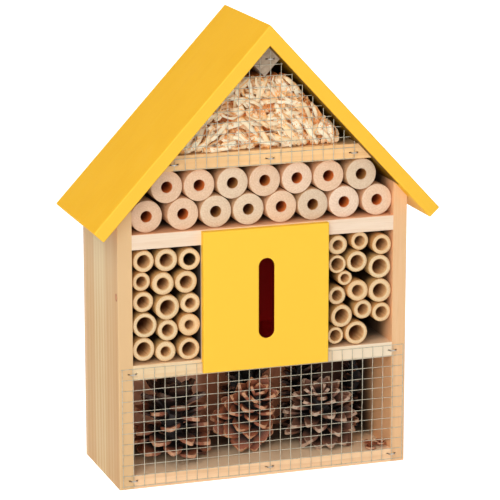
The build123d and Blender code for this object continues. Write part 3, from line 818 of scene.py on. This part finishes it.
# Painted shade: the heap's body behind the ribbons is coloured dark orange-brown, for the shade deep
# in the heap.
heap_wood = shaving_finish(
    "heap_inside", srgb(204, 124, 62), srgb(184, 104, 48), srgb(126, 64, 26))
ribbons_of_a_kind = 12
curl_crinkle = 0.0002
kinds = {"strip": [], "curl": []}
kind_luck = Random(5)
for number in range(ribbons_of_a_kind):
    coil = kind_luck.uniform(0.0060, 0.018)
    cup = kind_luck.uniform(-0.45, 0.30)
    width = kind_luck.uniform(0.0022, 0.0042)
    length = kind_luck.uniform(0.012, 0.021)
    twist = kind_luck.uniform(-1.5, 1.5)
    crinkle = kind_luck.uniform(0.0003, 0.0007)
    kinds["strip"].append(ribbon(width, length, coil, cup, twist, crinkle, number))
    coil = kind_luck.uniform(0.0016, 0.0032)
    width = kind_luck.uniform(0.0030, 0.0050)
    length = coil * kind_luck.uniform(3.4, 5.4)
    cup = kind_luck.uniform(-0.3, 0.3)
    twist = kind_luck.uniform(-0.9, 0.9)
    kinds["curl"].append(ribbon(width, length, coil, cup, twist, curl_crinkle, number + 40))


def strip_turn(x, z, luck):
    """Which way a strip lies: falling to the right, but rising at the left and at the top."""
    lean = -22 - 44 * smooth(x, 0.004, 0.040) + 70 * smooth(-x, 0.010, 0.036)
    high = smooth(z, shelf_top + 0.034, heap_top - 0.006)
    lean += (-88 + 1250 * x - lean) * high
    return radians(lean + luck.gauss(0, 22))


heap_luck = Random(9)
curls = bmesh.new()
edge_shade_layer = curls.verts.layers.float.new("edge")
fold_shade_layer = curls.verts.layers.float.new("fold")
tone_layer = curls.verts.layers.float.new("tone")
toward = Vector((0, -1, 0))
# Each layer from the back: its kind, its distance behind the net, its painted shade and its spacing.
layers_of_heap = (
    ("strip", 0.0080, 0.80, 0.0060),
    ("curl", 0.0056, 0.50, 0.0054),
    ("strip", 0.0042, 0.24, 0.0054),
    ("curl", 0.0030, 0.14, 0.0060),
    ("strip", 0.0016, 0.04, 0.0060),
    ("strip", 0.0006, 0.0, 0.0086),
)
for kind, setback, shade, step in layers_of_heap:
    rows = int((heap_top - shelf_top) / step)
    for row in range(rows + 1):
        z = shelf_top + (heap_top - shelf_top) * row / rows
        left, right = -half_width(z, heap_gap), heap_edge(z) - 0.002
        count = ceil((right - left) / step)
        for column in range(count + 1):
            x = left + (right - left) * column / count
            spot = Vector((x, net_back + 0.002 + setback, z))
            spot += Vector((heap_luck.uniform(-1, 1), 0, heap_luck.uniform(-1, 1))) * step * 0.6
            lean = strip_turn(x, z, heap_luck)
            run = Vector((cos(lean), 0, sin(lean)))
            turned = Matrix((toward, run.cross(toward), run)).transposed().to_4x4()
            roll = heap_luck.gauss(0, 0.45) + (pi if heap_luck.random() < 0.2 else 0)
            if kind == "curl":
                turned = turned @ Matrix.Rotation(heap_luck.uniform(0, 2 * pi), 4, "Y")
                roll = heap_luck.uniform(0, 2 * pi)
            nod = Matrix.Rotation(heap_luck.gauss(0, 0.22), 4, "X")
            turned = nod @ turned @ Matrix.Rotation(roll, 4, "Z")
            size = heap_luck.uniform(0.8, 1.15)
            tone = heap_luck.random()
            matrix = Matrix.Translation(spot) @ turned @ Matrix.Diagonal((size, size, size, 1))
            shaving = lay(curls, kinds[kind][heap_luck.randrange(ribbons_of_a_kind)], matrix)
            settled(shaving, net_back + 0.0002 + setback * 0.7)
            for v in shaving:
                # Painted shade: shavings further behind the net are coloured deeper orange-brown.
                deep_shade = smooth(v.co.y - net_back, 0.003, 0.013)
                v[fold_shade_layer] = min(shade + deep_shade * 0.5 + v[edge_shade_layer], 1.0)
                v[tone_layer] = tone
piece("shavings_curls", curls, shaving_wood, ["shavings"], crease=70.0)

heap = block((15, 6, 8))
fold_shade_layer = heap.verts.layers.float.new("fold")
heap.verts.layers.float.new("tone")
heap_front = net_back + 0.0075
heap_inset = 0.004
lump_depth = 0.004
lumps_per_metre = 190
for v in heap.verts:
    z = shelf_top + clearance + (v.co.z + 0.5) * (heap_top - shelf_top - 2 * clearance)
    left, right = -half_width(z, heap_gap), heap_edge(z) - heap_inset
    x = left + (v.co.x + 0.5) * (right - left)
    y = heap_front + (v.co.y + 0.5) * (heap_high.y - heap_front)
    if v.co.y < -0.49:
        y += noise.noise(Vector((x, y, z)) * lumps_per_metre) * lump_depth
    v.co = (x, y, z)
    v[fold_shade_layer] = 0.5
piece("shavings_heap", heap, heap_wood, ["shavings"], crease=70.0)


# The nets: two pieces of welded wire net with a square pitch of a quarter inch. The upright wires
# lie in front of the level ones, all are galvanised, and the cut ends stand free.
wire_radius = 0.00019
wire_pitch = 0.00635
wire_sway = 0.00016
wire_cuts_to_pitch = 2
noise.seed_set(1)


def wire(bm, foot, head, luck):
    """Adds a wire between two points, not quite straight."""
    run = head - foot
    cuts = max(int(run.length / wire_pitch * wire_cuts_to_pitch), 1)
    rod = bmesh.new()
    bmesh.ops.create_cone(rod, cap_ends=True, segments=6, radius1=wire_radius, radius2=wire_radius,
                          depth=run.length)
    long = [e for e in rod.edges if e.calc_length() > run.length * 0.9]
    bmesh.ops.subdivide_edges(rod, edges=long, cuts=cuts)
    start = Vector([luck.uniform(0, 100) for _ in range(3)])
    for v in rod.verts:
        v.co += noise.noise_vector(start + Vector((0, 0, v.co.z * 70))) * wire_sway
    turned = run.to_track_quat("Z", "Y").to_matrix().to_4x4()
    lay(bm, as_mesh(rod, "wire"), Matrix.Translation((foot + head) / 2) @ turned)


def net_wires(low, high, columns, rows, top_at, seed):
    """All the wires of a net. top_at gives the height at which an upright wire is cut off."""
    bm = bmesh.new()
    luck = Random(seed)
    front = low.y + wire_radius
    back = high.y - wire_radius
    left = (low.x + high.x) / 2 - columns * wire_pitch / 2
    foot = low.z + wire_radius
    for number in range(columns + 1):
        x = left + number * wire_pitch
        top = top_at(x) - luck.uniform(0, 0.0003)
        wire(bm, Vector((x, front, low.z)), Vector((x, front, top)), luck)
    for number in range(rows + 1):
        z = foot + number * wire_pitch
        reach = min((high.x - low.x) / 2, half_width(z, heap_gap * 0.5))
        if reach > wire_pitch:
            wire(bm, Vector((-reach, back, z)), Vector((reach, back, z)), luck)
    return bm


def pitches(span):
    """How many whole pitches there are between the outer wires of a net."""
    return round(span / wire_pitch - 0.1)


net_steel, where, shader = new_finish("net_wire", 0.45, 0.4)
spots = grainy(where, 520.0, 3.0)
colour = over(rise(spots, 0.40, 0.70) * 0.6, srgb(198, 191, 170), srgb(154, 146, 126))
feed(shader, "Base Color", colour)
feed(shader, "Roughness", spots * 0.3 + 0.28)
bumped(shader, spots, 0.2, 0.0001)

low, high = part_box("lower_mesh")
wires = net_wires(low, high, pitches(high.x - low.x), pitches(high.z - low.z), lambda x: high.z, 4)
piece("lower_net_wires", wires, net_steel, ["lower_mesh"], crease=60.0)
low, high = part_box("gable_mesh")
rows = int((high.z - low.z) / wire_pitch)
wires = net_wires(low, high, pitches(high.x - low.x), rows,
                  lambda x: apex - abs(x) * tan(slope) - 0.0010, 6)
piece("gable_net_wires", wires, net_steel, ["gable_mesh"], crease=60.0)


# The staples: bright steel wire bent to a U and driven in across an upright wire of the net. The
# crown shows, and the legs are in the wood.
def staple(bm, low, high):
    """One staple with rounded shoulders, in the box of its crown and legs."""
    seat = (high.z - low.z) / 2
    wire_thick = seat * 1.3
    half = wire_thick / 2
    shoulder = wire_thick * 0.9
    straight = (high.x - low.x) * 0.36 - half - shoulder
    bend = shoulder * pi / 2
    leg = high.y - low.y - half - shoulder
    reach = straight + bend + leg
    bar = block((28, 0, 0))
    shoulder_shade_layer = bar.verts.layers.float.new("end")
    for v in bar.verts:
        along = v.co.x * 2 * reach
        side = 1 if along > 0 else -1
        far = abs(along)
        out, up = v.co.y * wire_thick, v.co.z * wire_thick
        if far <= straight:
            x, y = far, -out
        elif far <= straight + bend:
            angle = (far - straight) / shoulder
            x = straight + (shoulder + out) * sin(angle)
            y = shoulder - (shoulder + out) * cos(angle)
        else:
            x, y = straight + shoulder + out, shoulder + far - straight - bend
        v[shoulder_shade_layer] = smooth(far, straight * 0.45, straight + bend * 0.4)
        v.co = ((low.x + high.x) / 2 + side * x, low.y + seat + y, (low.z + high.z) / 2 + up)
    bm.from_mesh(as_mesh(bar, "staple"))


def islands(node):
    """The boxes of a CAD node's separate solids."""
    bm = bmesh.new()
    bm.from_mesh(frame["nodes"][node].data)
    bmesh.ops.remove_doubles(bm, verts=bm.verts, dist=1e-6)
    left = set(bm.verts)
    boxes = []
    while left:
        group, edge = set(), [left.pop()]
        while edge:
            v = edge.pop()
            group.add(v)
            near = [e.other_vert(v) for e in v.link_edges]
            edge += [n for n in near if n in left]
            left.difference_update(near)
        boxes.append(corners_of(group))
    bm.free()
    return boxes


staple_steel, where, shader = new_finish("staple_steel", 0.36, 0.6)
end = stored(where, "end")
dull = grainy(where, 900.0, 3.0)
colour = over(rise(dull, 0.40, 0.70) * 0.5, srgb(196, 194, 188), srgb(138, 132, 124))
# Painted shade: the staple darkens towards its shoulders, where they dip into the wood.
feed(shader, "Base Color", over(end * 0.8, colour, srgb(66, 54, 44)))
feed(shader, "Roughness", dull * 0.3 + 0.24)
for node in ("lower_mesh_staples", "gable_mesh_staples"):
    staples = bmesh.new()
    staples.verts.layers.float.new("end")
    for low, high in islands(node):
        staple(staples, low, high)
    piece(node + "_bent", staples, staple_steel, [node])


# The painted boards: two roof boards, mitred at the ridge, and the front panel with its slot. All
# are covered all round in smooth warm yellow paint, with a faint trace of the grain beneath.
panel_yellow = srgb(254, 201, 66)
panel_front, panel_back = (corner.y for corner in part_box("front_panel"))
slot_low, slot_high = (Vector(corner) for corner in bored["panel_slot"])
slot_end = (slot_high.x - slot_low.x) / 2
slot_margin = 0.0005
slot_reach = Vector((slot_margin, slot_margin, slot_end + slot_margin))
slot_low -= slot_reach
slot_high += slot_reach


def yellow_paint(name, stretch, colour, edge, edge_lit_colour, shade_from):
    """Satin paint on wood, with brush marks along the board; its front edge takes its own colour, on
    the roof a paler yellow as painted light.
    """
    material, where, shader = new_finish(name, 0.5)
    shader.inputs["Specular IOR Level"].default_value = 0.14
    marks = grainy(where, stretch, 3.0)
    coat = grainy(where, 38.0)
    pimples = grainy(where, 1300.0)
    tint = over(rise(coat, 0.35, 0.70) * 0.25, colour, srgb(246, 178, 34))
    tint = over(rise(marks, 0.50, 0.75) * 0.16, tint, srgb(255, 206, 78))
    tint = over(rise(marks, 0.45, 0.25) * 0.12, tint, srgb(238, 166, 26))
    tint = over(rise(part_of(where, "Y"), edge + 0.0008, edge + 0.0002), tint, edge_lit_colour)
    # Painted shade: on the roof, the inner faces under the ridge turn dark brown just behind the
    # front edge.
    tint = shaded(where, tint, shade_from, 0.003)
    # Inside the slot its sides are coloured dark red: the chamber's red paint, darkened as painted
    # shade.
    slot = within(where, slot_low, slot_high)
    behind = part_of(where, "Y").math("GREATER_THAN", panel_front + 0.0003)
    tint = over(slot * behind, tint, srgb(92, 6, 2))
    feed(shader, "Base Color", tint)
    feed(shader, "Roughness", coat * 0.12 + marks * 0.08 + 0.42)
    bumped(shader, marks * 0.6 + pimples * 0.4, 0.14, 0.0003)
    return material


roof_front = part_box("left_roof_board")[0].y
roof_paint = yellow_paint(
    "roof_paint", (40.0, 420.0, 40.0), srgb(255, 190, 24), roof_front, srgb(250, 194, 64),
    roof_front + 0.0004)
dress("left_roof_board", roof_paint)
dress("right_roof_board", roof_paint)
dress("front_panel", yellow_paint(
    "panel_paint", (420.0, 420.0, 30.0), panel_yellow, panel_front, panel_yellow, panel_back))


# The stage: a pale floor that the camera sees as white, like the backdrop round it, four soft lamps,
# and the camera where the photograph was taken from.
def seen_by_camera(flow):
    """A mask of the rays that the camera sees, straight, mirrored or through glass."""
    straight, mirrored, through = (
        flow.node("LightPath", None, None, f"Is {kind} Ray")
        for kind in ("Camera", "Glossy", "Transmission"))
    return straight.math("MAXIMUM", mirrored).math("MAXIMUM", through)


def grey(level):
    """A grey by its strength in light."""
    return (level, level, level, 1.0)


floor_reach = 6.0
floor_level = 0.86
glow_near = 0.66
sky_light = 0.22
ground = bmesh.new()
bmesh.ops.create_grid(ground, x_segments=1, y_segments=1, size=floor_reach)
floor = bpy.data.objects.new("floor", as_mesh(ground, "floor"))
bpy.context.scene.collection.objects.link(floor)
floor_paint, where, shader = new_finish("floor", 0.9)
shader.inputs["Base Color"].default_value = grey(floor_level)
away = where.node("VectorMath", {"operation": "LENGTH"}, {0: where}, "Value")
glow = over(rise(away, 0.7, 2.2), grey(glow_near), grey(1.0))
shader.inputs["Emission Strength"].default_value = 1.0
feed(shader, "Emission Color", over(seen_by_camera(where), grey(0.0), glow))
floor.data.materials.append(floor_paint)

world = bpy.data.worlds.new("studio")
bpy.context.scene.world = world
world.use_nodes = True
backdrop = world.node_tree.nodes["Background"]
seen = seen_by_camera(Flow(backdrop.outputs["Background"]))
feed(backdrop, "Strength", seen * (1 - sky_light) + sky_light)
backdrop.inputs["Color"].default_value = grey(1.0)

middle = Vector((0.0, 0.0, 0.14))
lamps = (
    ("main_softbox", (-0.85, -1.30, 0.85), 1.0, 14.0),
    ("front_softbox", (-0.20, -1.75, 0.20), 0.9, 7.2),
    ("left_softbox", (-1.00, -0.40, 1.60), 1.1, 10.5),
    ("rear_softbox", (1.25, 1.05, 1.15), 1.2, 17.0),
)
for name, place, size, power in lamps:
    lamp = bpy.data.lights.new(name, "AREA")
    lamp.size = size
    lamp.energy = power
    lamp_object = bpy.data.objects.new(name, lamp)
    lamp_object.location = place
    lamp_object.rotation_euler = (middle - Vector(place)).to_track_quat("-Z", "Y").to_euler()
    bpy.context.scene.collection.objects.link(lamp_object)

photo_width = 500
focal_pixels = 2719.0
camera_turn = 0.3286
camera_tilt = 0.2394
camera_away = 1.5815
camera_right = 0.00168
camera_up = -0.01175
level = Vector((sin(camera_turn), cos(camera_turn), 0))
forward = level * cos(camera_tilt) - Vector((0, 0, sin(camera_tilt)))
right = Vector((cos(camera_turn), -sin(camera_turn), 0))
up = right.cross(forward)
camera = bpy.data.cameras.new("camera")
camera.lens = focal_pixels / photo_width * camera.sensor_width
camera_object = bpy.data.objects.new("camera", camera)
camera_object.location = middle + right * camera_right + up * camera_up - forward * camera_away
camera_object.rotation_euler = forward.to_track_quat("-Z", "Y").to_euler()
bpy.context.scene.collection.objects.link(camera_object)
bpy.context.scene.camera = camera_object
bpy.context.scene.view_settings.view_transform = "Standard"
